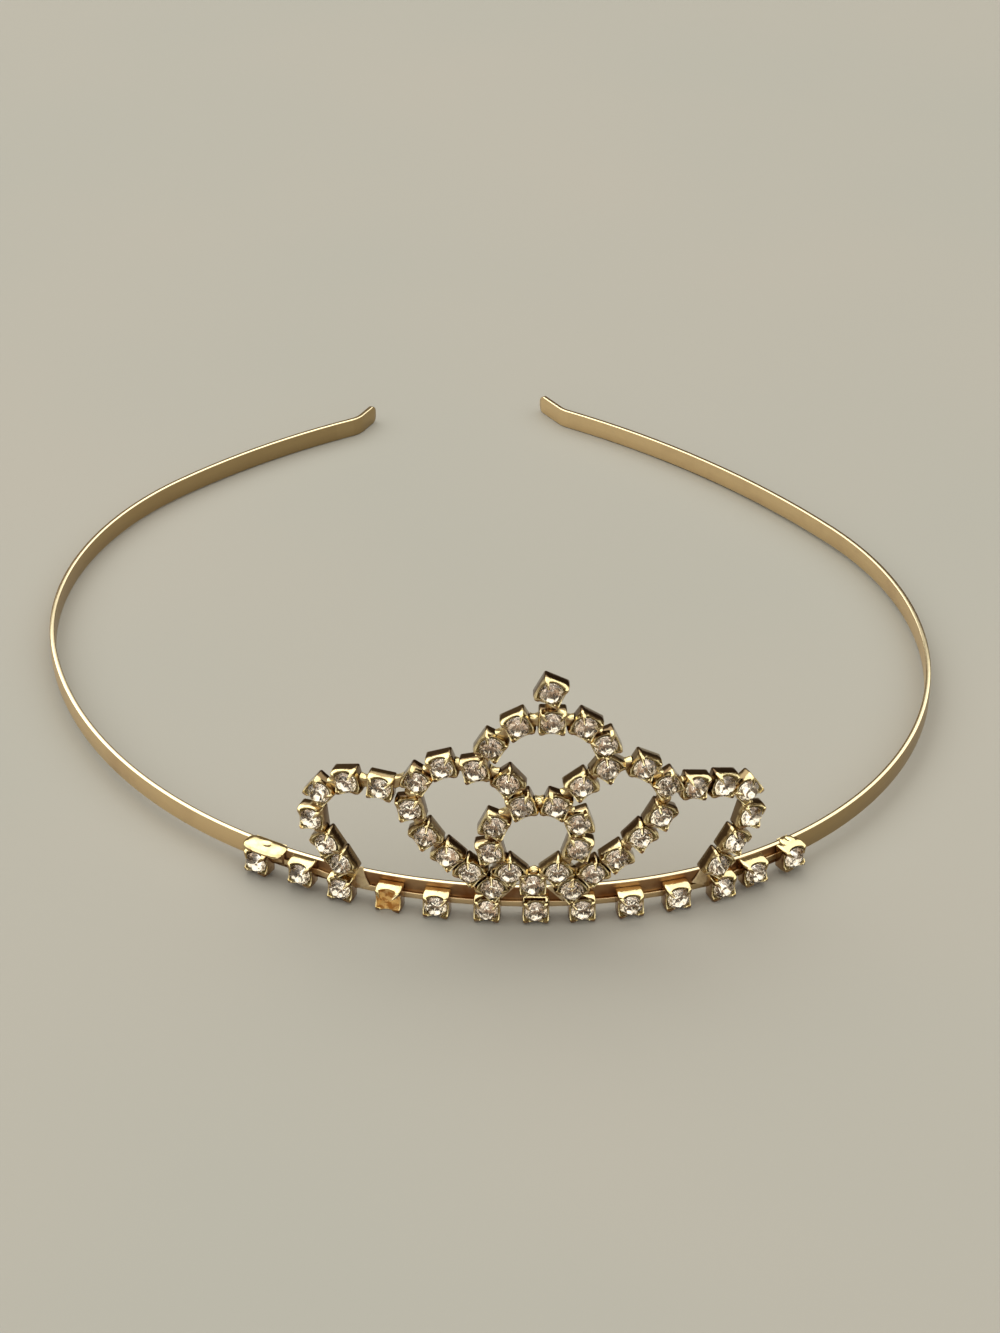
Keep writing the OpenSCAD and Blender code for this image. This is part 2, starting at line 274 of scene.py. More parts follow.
# %% Sizes
BAND_WIDTH = 3.1 * MM
BAND_THICK = 0.8 * MM
TIP_CORNER = 0.9 * MM
# A bend: its radius and its turn in degrees, from the middle of the front to the tip
RIGHT_BENDS = [(66.5 * MM, 14), (57.5 * MM, 112.5), (140 * MM, 23), (-4 * MM, -24)]
LEFT_BENDS = [(73.5 * MM, 76.5), (53 * MM, 59.5), (117 * MM, 16.5), (-4 * MM, -33)]
RIGHT_TIP = 5.3 * MM
LEFT_TIP = 3.8 * MM
SOLDER_GAP = 0.05 * MM
CUP_WIDTH = 3.7 * MM
CUP_DEPTH = 2.3 * MM
CUP_WALL = 0.15 * MM
CLAW_TOP = 2.93 * MM
BASE_PITCH = 6.5 * MM
BASE_LEVEL = 0.5 * MM
SEAT = BAND_THICK / 2 + SOLDER_GAP
print("strip's middle to cup's back:", round(SEAT / MM, 2), "mm")

# %% Places of the cups
# A base cup: its place in pitches, and how far it is raised in widths of the strip
BASE_CUPS = [
    (-6, 0.15), (-4.95, 0.3), (-4.05, 0.05), (-3, 0), (-2, 0), (-0.95, 0), (0.05, 0),
    (1, 0), (2, 0), (3, 0), (4, 0), (4.75, 0.25), (5.7, 0.3),
]
EMPTY_CUP = 3
# A row of a route: distance, height, 1 for a cup of this chain or 0 for a shared one, and the
# degrees by which some cups have twisted out of their chain.
LEFT_OUTER = [
    (-26.1, 5, 1, -4), (-28.1, 7.8, 1, 4), (-30.1, 11.6, 1), (-28.8, 16.4, 1),
    (-24.9, 19.1, 1, -4), (-20.3, 19.2, 1, -16), (-15.3, 21.1, 0),
]
LEFT_INNER = [
    (-5.5, 4.3, 1), (-8.4, 6.8, 1), (-11.3, 9.2, 1), (-14.3, 12.2, 1), (-16.3, 16.4, 1, 6),
    (-15.3, 21.1, 1), (-12, 23.9, 1), (-7.6, 23.8, 0),
]
CENTRE_RING = [
    (-0.1, 5.1, 1), (-3.1, 7.1, 1), (-5.7, 10.3, 1), (-5.2, 14.7, 1, 4), (-1.6, 18.1, 1),
    (2.9, 18.1, 1), (5.8, 15.1, 1, -4), (5.8, 10.8, 1), (3.1, 7.1, 1, -4),
]
TOP_RING = [
    (2.2, 31.8, 1), (-2.2, 31.2, 1), (-5.6, 27.7, 1, 6), (-7.6, 23.8, 1, -4),
    (-3.4, 21.9, 1, -8), (-1.6, 18.1, 0), (2.9, 18.1, 0), (6.1, 21.3, 1, -4),
    (9.4, 23.9, 1, -12), (9.1, 27.8, 1), (6.5, 30.9, 1, -4),
]
RIGHT_INNER = [
    (5, 4, 1), (7.9, 6.6, 1), (11, 8.8, 1, -4), (14.1, 11.9, 1), (16.7, 14.9, 1, -8),
    (17.5, 19.9, 1, 14), (14.3, 23.4, 1, -4), (9.4, 23.9, 0),
]
RIGHT_OUTER = [
    (25.1, 4.6, 1), (27.4, 7.9, 1), (29.6, 11.5, 1, -6), (28.9, 16.1, 1), (25.4, 18, 1, 4),
    (21.4, 18.7, 1), (17.5, 19.9, 0),
]
FINIAL = (2.1, 36.5)
FINIAL_TILT = -28
RINGS = (CENTRE_RING, TOP_RING)
ROUTES = {
    "left_outer": LEFT_OUTER, "left_inner": LEFT_INNER, "centre_ring": CENTRE_RING,
    "top_ring": TOP_RING, "right_inner": RIGHT_INNER, "right_outer": RIGHT_OUTER,
}
print("cups on the crown:", sum(cup[2] for route in ROUTES.values() for cup in route) + 1)

# %% [markdown]
# ## Finding a place on the bent strip
# The strip is a chain of round bends, so a place on it is found by walking: each bend is an arc of
# known radius and turn. Walking works for any distance and gives the direction there as well,
# which a fitted curve would give only roughly.

# %% Walking along the bends
def after(at, bend):
    """Where a bend ends that starts at (x, y, direction in degrees)."""
    x, y, direction = at
    radius, turn = bend
    start, end = math.radians(direction), math.radians(direction + turn)
    return (x + radius * (math.sin(end) - math.sin(start)),
            y + radius * (math.cos(start) - math.cos(end)), direction + turn)


def along(bends, distance):
    """The middle line's place at a distance along the strip's outer face."""
    at = (0, 0, 0)
    for radius, turn in bends:
        length = (radius + BAND_THICK / 2) * math.radians(turn)
        if distance <= length:
            return after(at, (radius, turn * distance / length))
        distance -= length
        at = after(at, (radius, turn))
    raise ValueError("the place lies past the strip's tip")


def face_at(distance):
    """The middle line's place and direction, with distances to the left below 0."""
    side = -1 if distance < 0 else 1
    x, y, direction = along(LEFT_BENDS if side < 0 else RIGHT_BENDS, abs(distance))
    return side * x, y, side * direction


def on_face(distance, height, roll=0):
    """The crown's upright face: x along the strip, y up, z out towards the viewer."""
    x, y, direction = face_at(distance)
    return (Matrix.Translation((x, y, height)) @ Matrix.Rotation(math.radians(direction), 4, "Z")
            @ Matrix.Translation((0, -SEAT, 0)) @ Matrix.Rotation(math.pi / 2, 4, "X")
            @ Matrix.Rotation(math.radians(roll), 4, "Z"))


print("turn at 20 mm:", round(face_at(20 * MM)[2], 1), "degrees")

# %% The middle line from the left tip to the right tip
BEND_STEP = 1.5
TIP_STEPS = 8


def arm_line(bends, tip):
    """Points (x, y, direction, distance to go) of one arm, from the middle to its tip."""
    line, at, gone = [], (0, 0, 0), 0
    for radius, turn in bends:
        steps = math.ceil(abs(turn) / BEND_STEP)
        for k in range(steps):
            part = turn * (k / steps)
            line.append((*after(at, (radius, part)), gone + radius * math.radians(part)))
        at = after(at, (radius, turn))
        gone += radius * math.radians(turn)
    x, y, direction = at
    c, s = math.cos(math.radians(direction)), math.sin(math.radians(direction))
    straight = [0, tip - TIP_CORNER] + [tip - TIP_CORNER * math.cos(math.pi / 2 * k / TIP_STEPS)
                                        for k in range(1, TIP_STEPS + 1)]
    line += [(x + d * c, y + d * s, direction, gone + d) for d in straight]
    total = gone + tip
    return [(x, y, direction, total - d) for x, y, direction, d in line]


right_line = arm_line(RIGHT_BENDS, RIGHT_TIP)
left_line = [(-x, y, -direction, left) for x, y, direction, left in arm_line(LEFT_BENDS, LEFT_TIP)]
middle_line = left_line[:0:-1] + right_line
print("strip length:", round((left_line[0][3] + right_line[0][3]) / MM, 1), "mm")

# %% [markdown]
# ## How the headband rests
# The lowest cups hang a little below the strip, so the real one stands on two of them and leans
# back onto its tips. The lean is under a degree, but without it the cups would sink into the
# table. It is worked out here in the same way as in the part, and every piece is made upright
# first and leaned at the end.

# %% Lean
def sideways(line, offset):
    """A line's points, moved out by an offset."""
    return [(x + offset * math.sin(math.radians(d)), y - offset * math.cos(math.radians(d)))
            for x, y, d, left in line]


def base_place(cup):
    return cup[0] * BASE_PITCH, BASE_LEVEL + cup[1] * BAND_WIDTH


def make_lean():
    edges = sideways(middle_line, BAND_THICK / 2) + sideways(middle_line, -BAND_THICK / 2)
    back = max(y for x, y in edges)
    tilt = 0
    for cup in BASE_CUPS:
        distance, height = base_place(cup)
        x, y, direction = face_at(distance)
        direction = math.radians(abs(direction))
        corner = y - SEAT * math.cos(direction) + CUP_WIDTH / 2 * math.sin(direction)
        tilt = max(tilt, math.atan((CUP_WIDTH / 2 - height) / (back - corner)))
    middle_x = (max(x for x, y in edges) + min(x for x, y in edges)) / 2
    middle_y = (back - SEAT - CLAW_TOP) / 2
    shift = Vector((-middle_x, -middle_y, back * math.sin(tilt)))
    return Matrix.Translation(shift) @ Matrix.Rotation(-tilt, 4, "X"), tilt


LEAN, lean_angle = make_lean()
print("leans back by", round(math.degrees(lean_angle), 2), "degrees")

# %% [markdown]
# ## From a node tree to a plain mesh
# A modifier is handy while a piece is being made, but what is kept is the mesh that it gives.
# The evaluated object is turned into a new mesh, the modifier goes, and the lean is put into the
# points themselves, so that the object stays at the origin like the part's own solids.

# %% Helpers for objects and modifiers
CREASE = 38


def new_object(name, points, faces=(), edges=()):
    mesh = bpy.data.meshes.new(name)
    mesh.from_pydata([tuple(p) for p in points], list(edges), list(faces))
    piece = bpy.data.objects.new(name, mesh)
    scene.collection.objects.link(piece)
    return piece


def give(piece, name, kind, values):
    """Writes one value for each point, under a name that the node trees can read."""
    field = "vector" if kind == "FLOAT_VECTOR" else "value"
    flat = [c for v in values for c in v] if field == "vector" else list(values)
    piece.data.attributes.new(name, kind, "POINT").data.foreach_set(field, flat)


def run_tree(piece, tree, values):
    modifier = piece.modifiers.new(tree.name, "NODES")
    modifier.node_group = tree
    for item in tree.interface.items_tree:
        if item.in_out == "INPUT" and item.name in values:
            modifier[item.identifier] = values[item.name]


# %% Helpers for a finished piece
def note_outlook(mesh):
    """Writes down which way each face looks, which the materials use for painted highlights and
    painted shade.
    """
    outlook = mesh.attributes.new("outlook", "FLOAT_VECTOR", "FACE")
    outlook.data.foreach_set("vector", [c for face in mesh.polygons for c in face.normal])


def settle(piece, lean=True, crease=CREASE):
    """Applies what the modifiers give, leans it back and sharpens its creases."""
    bpy.context.view_layer.update()
    graph = bpy.context.evaluated_depsgraph_get()
    made = bpy.data.meshes.new_from_object(piece.evaluated_get(graph), depsgraph=graph)
    old = piece.data
    piece.modifiers.clear()
    piece.data = made
    made.name = piece.name
    bpy.data.meshes.remove(old)
    if lean:
        made.transform(LEAN)
        note_outlook(made)
    made.shade_smooth()
    made.set_sharp_from_angle(angle=math.radians(crease))
    return piece


def put_aside(master):
    """Hides a master, because only its copies are seen."""
    scene.collection.objects.unlink(master)
    print(f"{master.name}: {len(master.data.polygons)} faces")
    return master


def hand_in(piece, slot, *nodes):
    """Hangs the piece on the frame's root and hides the imported solids that it stands for. The
    slot, what it is made of, is not used.
    """
    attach(piece, "root")
    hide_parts(*nodes)
    made = piece.data
    made.calc_loop_triangles()
    print(f"{piece.name}: {len(made.loop_triangles)} triangles")


# %% A tree with named inputs
def new_tree(name, inputs):
    print("node tree:", name)
    tree = bpy.data.node_groups.new(name, "GeometryNodeTree")
    tree.interface.new_socket("Geometry", in_out="INPUT", socket_type="NodeSocketGeometry")
    for label, kind, value in inputs:
        socket = tree.interface.new_socket(label, in_out="INPUT", socket_type="NodeSocket" + kind)
        if value is not None:
            socket.default_value = value
    tree.interface.new_socket("Geometry", in_out="OUTPUT", socket_type="NodeSocketGeometry")
    nodes = Nodes(tree)
    return nodes, nodes.add("NodeGroupInput", output="Geometry")


def carried_field(nodes, name, kind="FLOAT"):
    """What the points or faces carry under this name, inside a Geometry Nodes tree."""
    return nodes.add("GeometryNodeInputNamedAttribute", {"data_type": kind}, [name])


# %% [markdown]
# ## Materials
# The metal is all gold plate, finished and worn in different ways. The strip is rolled and brushed
# along its length; between the base cups its front is painted red-brown as painted shade from the
# cups and links, its upward faces carry a painted highlight and its faces that look right a painted
# shade. The cups are stamped and bright, with a brown tint in random patches where plating is thin
# and painted shade on faces that turn from the ceiling. The rear of the arches' cups' walls is
# painted dark brown as a painted reflection of the dark room, and the empty cup still holds dried
# glue. Solder is matt, with painted shade where it turns from the ceiling. The foil behind a stone
# is painted darker on the facets that look up, as a painted reflection of the room's darker walls.
# All patterns are procedural and sit on the object's own coordinates or on values that the pieces
# carry, so they stay put on the metal.

# %% Paint helpers
GRAIN_ROUGHNESS = 0.55


def carried(nodes, name):
    """A value that the piece carries under this name."""
    return nodes.add("ShaderNodeAttribute", {"attribute_name": name}, output="Fac")


def looking(nodes, axis):
    """How far a face looks along an axis of the part, from -1 to 1."""
    outlook = nodes.add("ShaderNodeAttribute", {"attribute_name": "outlook"}, output="Vector")
    return nodes.add("ShaderNodeSeparateXYZ", inputs=[outlook], output=axis)


def turned_away(nodes, blend):
    """0 on faces that look up, then rising as they turn from the ceiling to the walls."""
    return (0.6 - looking(nodes, "Z")).ramp(0, blend)


def grain(nodes, vector, scale, detail):
    """Smooth noise round 0.5, with so many patches to the metre."""
    return nodes.add("ShaderNodeTexNoise", inputs={
        "Vector": vector, "Scale": scale, "Detail": detail, "Roughness": GRAIN_ROUGHNESS})


def bump(nodes, height, distance):
    return nodes.add("ShaderNodeBump", inputs={"Height": height, "Distance": distance})


# %% Brushed gold of the strip
STRIP_GOLD = (0.86, 0.65, 0.37, 1)
STRIP_WORN = (0.62, 0.43, 0.25, 1)
# Painted shade for faces that look to the right
STRIP_SHADED = (0.38, 0.27, 0.13, 1)
# Painted highlight for faces that look up
STRIP_TOP_HIGHLIGHT = (0.95, 0.84, 0.58, 1)
# Painted shade for the strip's front behind the base row
CAVITY_SHADE_BROWN = (0.21, 0.08, 0.025, 1)
BRUSH_ALONG = 90.0
BRUSH_ACROSS = 9000.0
BRUSH_DEPTH = 0.004 * MM
STRIP_MOTTLE = 160.0


def strip_gold():
    material, nodes, place = new_material("strip_gold")
    height = nodes.add("ShaderNodeSeparateXYZ", inputs=[place], output="Z")
    lane = nodes.add("ShaderNodeCombineXYZ", inputs=[
        carried(nodes, "along") * BRUSH_ALONG, height * BRUSH_ACROSS, 0.0])
    brushing = grain(nodes, lane, 1.0, 2.0)
    mottle = grain(nodes, place, STRIP_MOTTLE, 4.0)
    browning = mottle.ramp(0.48, 0.75) * 0.45 + brushing.ramp(0.4, 0.8) * 0.15
    front = (0 - looking(nodes, "Y")).ramp(0.4, 0.7)
    # Painted shade: between the end cups of the base row the front is painted red-brown, where cups
    # and links shade it and reflect in it.
    cavity_shade = carried(nodes, "soldered") * front * (0.7 + mottle.ramp(0.35, 0.6) * 0.3)
    # Painted highlight: faces that look up are painted paler, as the bright line along the top.
    edge = looking(nodes, "Z").ramp(0.6, 0.95)
    # Painted shade: faces that look to the right, towards the darker wall, are painted darker.
    darkening = looking(nodes, "X").ramp(0, 0.5) * (1 - edge) * 0.9
    gold = nodes.mix(darkening, nodes.mix(browning, STRIP_GOLD, STRIP_WORN), STRIP_SHADED)
    finish(nodes,
           Base_Color=nodes.mix(edge, nodes.mix(cavity_shade, gold, CAVITY_SHADE_BROWN), STRIP_TOP_HIGHLIGHT),
           Metallic=1.0,
           Roughness=(0.26 + brushing * 0.12 + browning * 0.12 + cavity_shade * 0.1) * (1 - edge * 0.7),
           Normal=bump(nodes, brushing, BRUSH_DEPTH))
    return material


strip_metal = strip_gold()

# %% Bright gold of the cups
CUP_GOLD = (0.96, 0.82, 0.46, 1)
# Brown of thin plating in random patches, also used as painted shade
CUP_BROWN = (0.27, 0.14, 0.065, 1)
# Painted dark reflection for the rear of the arches' cups
REAR_SHADE_BROWN = (0.13, 0.075, 0.038, 1)
GLUE_BROWN = (0.50, 0.24, 0.06, 1)
GLUE_YELLOW = (1.0, 0.78, 0.36, 1)
CUP_MOTTLE = 900.0
CUP_FINE = 4200.0
CUP_RELIEF = 0.025 * MM
REAR_SHADE_LINE = 0.72


def cup_gold():
    material, nodes, place = new_material("cup_gold")
    mottle = grain(nodes, place, CUP_MOTTLE, 4.0)
    fine = grain(nodes, place, CUP_FINE, 2.0)
    inside = carried(nodes, "inside")
    shade = carried(nodes, "shade")
    tarnish = carried(nodes, "tarnish")
    behind = looking(nodes, "Y").ramp(0.3, 0.8)
    # Painted shade: faces that turn from the ceiling to the walls are painted brown, less so on
    # faces that look back.
    turned_shade = turned_away(nodes, 0.6) * (1 - behind * 0.7)
    # Painted reflection: on the arches' cups the rear part of the outer walls is painted dark
    # brown, as the dark room seen in them, and the front keeps bright gold.
    rear = (REAR_SHADE_LINE - carried(nodes, "depth") + (mottle - 0.5) * 0.5).ramp(0, 0.12)
    # Random brown patches of thin plating, plus the painted shade on turned faces.
    thin_plate_and_shade = (mottle.ramp(0.45, 0.8) * (0.15 + shade * 0.4)
            + turned_shade * (1 - inside) * (0.6 + mottle * 0.5)).clamped()
    gold = nodes.mix(thin_plate_and_shade, CUP_GOLD, CUP_BROWN)
    heated = carried(nodes, "heated") * rear * (1 - inside) * (1 - behind)
    gold = nodes.mix(heated * (0.8 + shade * 0.18), gold, REAR_SHADE_BROWN)
    glue = nodes.mix(mottle.ramp(0.44, 0.56), GLUE_BROWN, GLUE_YELLOW)
    finish(nodes,
           Base_Color=nodes.mix(inside * tarnish, gold, glue),
           Metallic=1.0 - inside * 0.7,
           Roughness=0.06 + mottle * 0.06 + thin_plate_and_shade * 0.12 + inside * 0.3,
           Normal=bump(nodes, mottle * 0.7 + fine * 0.3, CUP_RELIEF))
    return material


cup_metal = cup_gold()

# %% Matt gold of the solder
SOLDER_BRIGHT = (0.82, 0.68, 0.42, 1)
# Dull patches, and painted shade where solder turns from the ceiling
SOLDER_DULL_AND_SHADE = (0.42, 0.27, 0.14, 1)
SOLDER_MOTTLE = 1500.0
SOLDER_RELIEF = 0.04 * MM


def solder_gold():
    material, nodes, place = new_material("solder_gold")
    mottle = grain(nodes, place, SOLDER_MOTTLE, 5.0)
    # Dull patches by noise, and painted shade on faces that turn from the ceiling.
    darkening = (mottle.ramp(0.45, 0.75) * 0.5 + turned_away(nodes, 0.8) * 0.3).clamped()
    finish(nodes, Base_Color=nodes.mix(darkening, SOLDER_BRIGHT, SOLDER_DULL_AND_SHADE), Metallic=0.6,
           Roughness=0.28 + mottle * 0.25, Normal=bump(nodes, mottle, SOLDER_RELIEF))
    return material


solder_metal = solder_gold()

# %% Crystal and the foil behind it
GLASS_CLEAR = (1.0, 0.99, 0.97, 1)
GLASS_HAZY = (0.97, 0.93, 0.89, 1)
HAZE_SCALE = 1200.0
FOIL_BRIGHT = (1.0, 0.96, 0.87, 1)
# Brown for flaws, and painted reflection on facets that look up
FOIL_BROWN = (0.28, 0.18, 0.11, 1)
FLAW_SCALE = 1600.0


def crystal():
    material, nodes, place = new_material("crystal")
    haze = grain(nodes, place, HAZE_SCALE, 2.0)
    finish(nodes, Base_Color=nodes.mix(haze, GLASS_CLEAR, GLASS_HAZY),
           Roughness=haze * 0.03, Transmission_Weight=1.0, IOR=1.35,
           Coat_Weight=0.8, Coat_Roughness=0.02, Coat_IOR=1.6)
    return material


def foil():
    material, nodes, place = new_material("foil")
    flaw = grain(nodes, place, FLAW_SCALE, 3.0)
    # Painted reflection: facets that look up are painted brown, as the darker room that the real
    # cut shows in a stone's upper half; flaws add noise patches.
    above = looking(nodes, "Z").ramp(-0.5, 0.2)
    browning = (flaw.ramp(0.48, 0.7) * 0.6 + above * 0.9).clamped()
    finish(nodes, Base_Color=nodes.mix(browning, FOIL_BRIGHT, FOIL_BROWN), Metallic=1.0,
           Roughness=0.08 + flaw * 0.08)
    return material


clear, backing = crystal(), foil()

# %% [markdown]
# ## The strip
# The strip is the simplest form here: one flat section carried along one line. It could be an
# extruded outline, but its long edges are slightly rounded by rolling, and those two narrow
# rounds catch the bright line along its top, which the gold also carries as a painted highlight.
# So a rounded section is swept along the middle line by Geometry Nodes. At the tips the line
# carries a falling fullness, and the tree narrows the section by it, which files the corners round.

# %% Strip tree
EDGE_ROUND = 0.14 * MM


def strip_tree():
    nodes, line = new_tree("swept_strip", [
        ("Width", "Float", BAND_WIDTH), ("Thickness", "Float", BAND_THICK),
        ("Edge Round", "Float", EDGE_ROUND), ("Finish", "Material", None)])
    width = line.output("Width")
    curve = nodes.add("GeometryNodeMeshToCurve", inputs=[line])
    curve = nodes.add("GeometryNodeSetCurveNormal", {"mode": "Z_UP"}, [curve])
    section = nodes.add("GeometryNodeCurvePrimitiveQuadrilateral", inputs={
        "Width": line.output("Thickness"), "Height": width})
    section = nodes.add("GeometryNodeFilletCurve", {"mode": "POLY"}, {
        "Curve": section, "Count": 3, "Radius": line.output("Edge Round")})
    solid = nodes.add("GeometryNodeCurveToMesh", inputs={
        "Curve": curve, "Profile Curve": section, "Fill Caps": True})
    place = nodes.add("GeometryNodeInputPosition")
    level = nodes.add("ShaderNodeSeparateXYZ", inputs=[place], output="Z") - width * 0.5
    fullness = carried_field(nodes, "fullness")
    move = nodes.add("ShaderNodeCombineXYZ", inputs={"Z": level * (fullness - 1)})
    solid = nodes.add("GeometryNodeSetPosition", inputs={"Geometry": solid, "Offset": move})
    solid = nodes.add("GeometryNodeRealizeInstances", inputs={"Geometry": solid})
    solid = nodes.add("GeometryNodeSetMaterial", inputs={
        "Geometry": solid, "Material": line.output("Finish")})
    nodes.add("NodeGroupOutput", inputs=[solid])
    return nodes.tree


swept_strip = strip_tree()

# %% Strip
def tip_fullness(left):
    """How much of its width the strip keeps at a distance from its end."""
    inset = max(TIP_CORNER - left, 0)
    lost = TIP_CORNER - math.sqrt(max(TIP_CORNER ** 2 - inset ** 2, 0))
    return 1 - 2 * lost / BAND_WIDTH


def make_strip():
    points = [(x, y, BAND_WIDTH / 2) for x, y, direction, left in middle_line]
    strip = new_object("strip", points, edges=[(k, k + 1) for k in range(len(points) - 1)])
    reach = [0]
    for start, end in zip(points, points[1:]):
        reach.append(reach[-1] + (Vector(end) - Vector(start)).length)
    give(strip, "along", "FLOAT", reach)
    give(strip, "fullness", "FLOAT", [tip_fullness(left) for *_, left in middle_line])
    first, last = (BASE_CUPS[k][0] * BASE_PITCH + left_line[0][3] for k in (0, -1))
    # Marks the stretch behind the base row, whose front gets painted shade.
    give(strip, "soldered", "FLOAT", [float(first < gone < last) for gone in reach])
    run_tree(strip, swept_strip, {"Finish": strip_metal})
    settle(strip, crease=50)
    hand_in(strip, "band_gold", "headband")


make_strip()

# %% [markdown]
# ## One cup
# A cup is stamped from thin sheet: a flat back, four walls with an arched rim, and a pointed claw
# at each corner that is pushed down over the stone. The front part of each wall leans in, and
# that lean is what shows as a bright line on the real ones. A stack of boxes would miss all of
# this, so the sheet is made as columns round the cup, each going up its wall, with the columns at
# a corner going on into the claw. Solidify then gives the sheet its thickness.

# %% Columns round a cup
CORNER_ROUND = 0.3 * MM
BACK_ROUND = 0.22 * MM
ROUND_MIDDLE = 0.3
LEAN_FROM = 1.45 * MM
WALL_LEAN = math.tan(math.radians(9))
ARCH_RADIUS = 2.0 * MM
ARCH_DIP = 0.5 * MM
CLAW_WIDTH = 1.1 * MM
ARC_COLUMNS = 5
SIDE_STEPS = 8


def cup_columns():
    """Columns (x, y, inward x, inward y, rim height, corner number or None) round one cup."""
    half = CUP_WIDTH / 2
    centre = half - CORNER_ROUND
    arc = CORNER_ROUND * math.pi / 4
    first = centre - (CLAW_WIDTH / 2 - arc)
    columns = []
    for corner in range(4):
        turn = Matrix.Rotation(math.radians(90 * corner), 2)
        local = [(half, first, 1, 0, CUP_DEPTH, corner)]
        for k in range(ARC_COLUMNS):
            a = math.radians(90 * k / (ARC_COLUMNS - 1))
            c, s = math.cos(a), math.sin(a)
            x, y = centre + CORNER_ROUND * c, centre + CORNER_ROUND * s
            local.append((x, y, c, s, CUP_DEPTH, corner))
        local.append((first, half, 0, 1, CUP_DEPTH, corner))
        for k in range(1, SIDE_STEPS):
            x = first * (1 - 2 * k / SIDE_STEPS)
            rim = CUP_DEPTH + ARCH_RADIUS - ARCH_DIP - math.sqrt(ARCH_RADIUS ** 2 - x ** 2)
            local.append((x, half, 0, 1, min(rim, CUP_DEPTH), None))
        for x, y, nx, ny, rim, owner in local:
            p, n = turn @ Vector((x, y)), turn @ Vector((nx, ny))
            columns.append((p.x, p.y, -n.x, -n.y, rim, owner))
    return columns


def wall_rows(rim):
    """Rows (inset, height) of one column, from the back's edge to the rim."""
    middle = BACK_ROUND * ROUND_MIDDLE
    lean = [LEAN_FROM + (rim - LEAN_FROM) * share for share in (0.5, 1)]
    return ([(BACK_ROUND, 0), (middle, middle), (0, BACK_ROUND), (0, LEAN_FROM)]
            + [((z - LEAN_FROM) * WALL_LEAN, z) for z in lean])


print("columns round a cup:", len(cup_columns()))

# %% A claw
CLAW_TIP = 0.3 * MM
CLAW_LENGTH = 1.25 * MM
CLAW_SLOPE = math.radians(28)
CLAW_ROOT_SLOPE = math.radians(58)
CLAW_ROWS = (0.12, 0.3, 0.55, 0.8, 1.0)


def claw_path():
    """Points (inward, up) of a claw's middle line, from the corner's rim."""
    path, at, gone = [], Vector((0, 0)), 0
    for share in CLAW_ROWS:
        slope = CLAW_SLOPE if gone else CLAW_ROOT_SLOPE
        at = at + CLAW_LENGTH * (share - gone) * Vector((math.cos(slope), math.sin(slope)))
        path.append(at.copy())
        gone = share
    return path


def add_claw(points, faces, corner, below):
    """Goes on from the rim's points at a corner, whose numbers are in below, to the claw's tip."""
    out = Vector((1, 1, 0)).normalized()
    out.rotate(Matrix.Rotation(math.radians(90 * corner), 3, "Z"))
    side = Vector((-out.y, out.x, 0))
    root = [points[k] for k in below]
    middle = root[len(root) // 2]
    for share, (inward, up) in zip(CLAW_ROWS, claw_path()):
        narrow = 1 - share * (1 - CLAW_TIP / CLAW_WIDTH)
        above = list(range(len(points), len(points) + len(root)))
        for p in root:
            lateral = (p - middle).dot(side) * narrow
            behind = (p - middle).dot(out) * (1 - share)
            points.append(middle + side * lateral + out * (behind - inward) + Vector((0, 0, up)))
        faces.extend([a, b, d, c] for a, b, c, d in zip(below, below[1:], above, above[1:]))
        below = above


print("a claw reaches in and up by", [round(c / MM, 2) for c in claw_path()[-1]], "mm")

# %% The cup
INSIDE_SHARE = 0.6


def cup_sheet():
    columns = cup_columns()
    count = len(columns)
    points = [Vector((x + ix * inset, y + iy * inset, z))
              for x, y, ix, iy, rim, owner in columns for inset, z in wall_rows(rim)]
    rows = len(points) // count
    faces = [[c * rows for c in reversed(range(count))]]
    for c in range(count):
        a, b = c * rows, (c + 1) % count * rows
        faces += [[a + r, b + r, b + r + 1, a + r + 1] for r in range(rows - 1)]
    for corner in range(4):
        rim = [c * rows + rows - 1 for c in range(count) if columns[c][5] == corner]
        add_claw(points, faces, corner, rim)
    return points, faces


def make_cup():
    points, faces = cup_sheet()
    cup = new_object("cup_master", points, faces)
    sheet = cup.modifiers.new("sheet", "SOLIDIFY")
    sheet.thickness = CUP_WALL
    sheet.offset = -1
    settle(cup, lean=False)
    half = CUP_WIDTH / 2 - CUP_WALL * INSIDE_SHARE
    within = [max(abs(v.co.x), abs(v.co.y)) < half and CUP_WALL / 2 < v.co.z < CUP_DEPTH
              for v in cup.data.vertices]
    give(cup, "inside", "FLOAT", [float(w) for w in within])
    give(cup, "depth", "FLOAT", [v.co.z / CUP_DEPTH for v in cup.data.vertices])
    return put_aside(cup)


cup_master = make_cup()

# %% [markdown]
# ## One stone
# The stones are machine-cut glass with a flat table, a crown of kites and triangles, a thin
# girdle and a pointed back that is covered with foil. Light goes in through the crown, off the
# foil and out again, and each facet shows another part of the room. That only works if the facets
# are flat and meet exactly, so rings of points are placed on the facets' planes.

# %% The cut
STONE_WIDTH = 3.15 * MM
TABLE_WIDTH = 1.85 * MM
CULET_WIDTH = 0.4 * MM
CULET_Z = 0.35 * MM
GIRDLE_Z = 1.95 * MM
GIRDLE_THICK = 0.16 * MM
TABLE_Z = 2.79 * MM
CROWN_KITE_R = 1.4 * MM
BACK_KITE_R = 1.35 * MM
FACETS = 8


def stone_ring(count, radius, z, offset):
    step = 2 * math.pi / count
    return [(radius * math.cos((k + offset) * step), radius * math.sin((k + offset) * step), z)
            for k in range(count)]


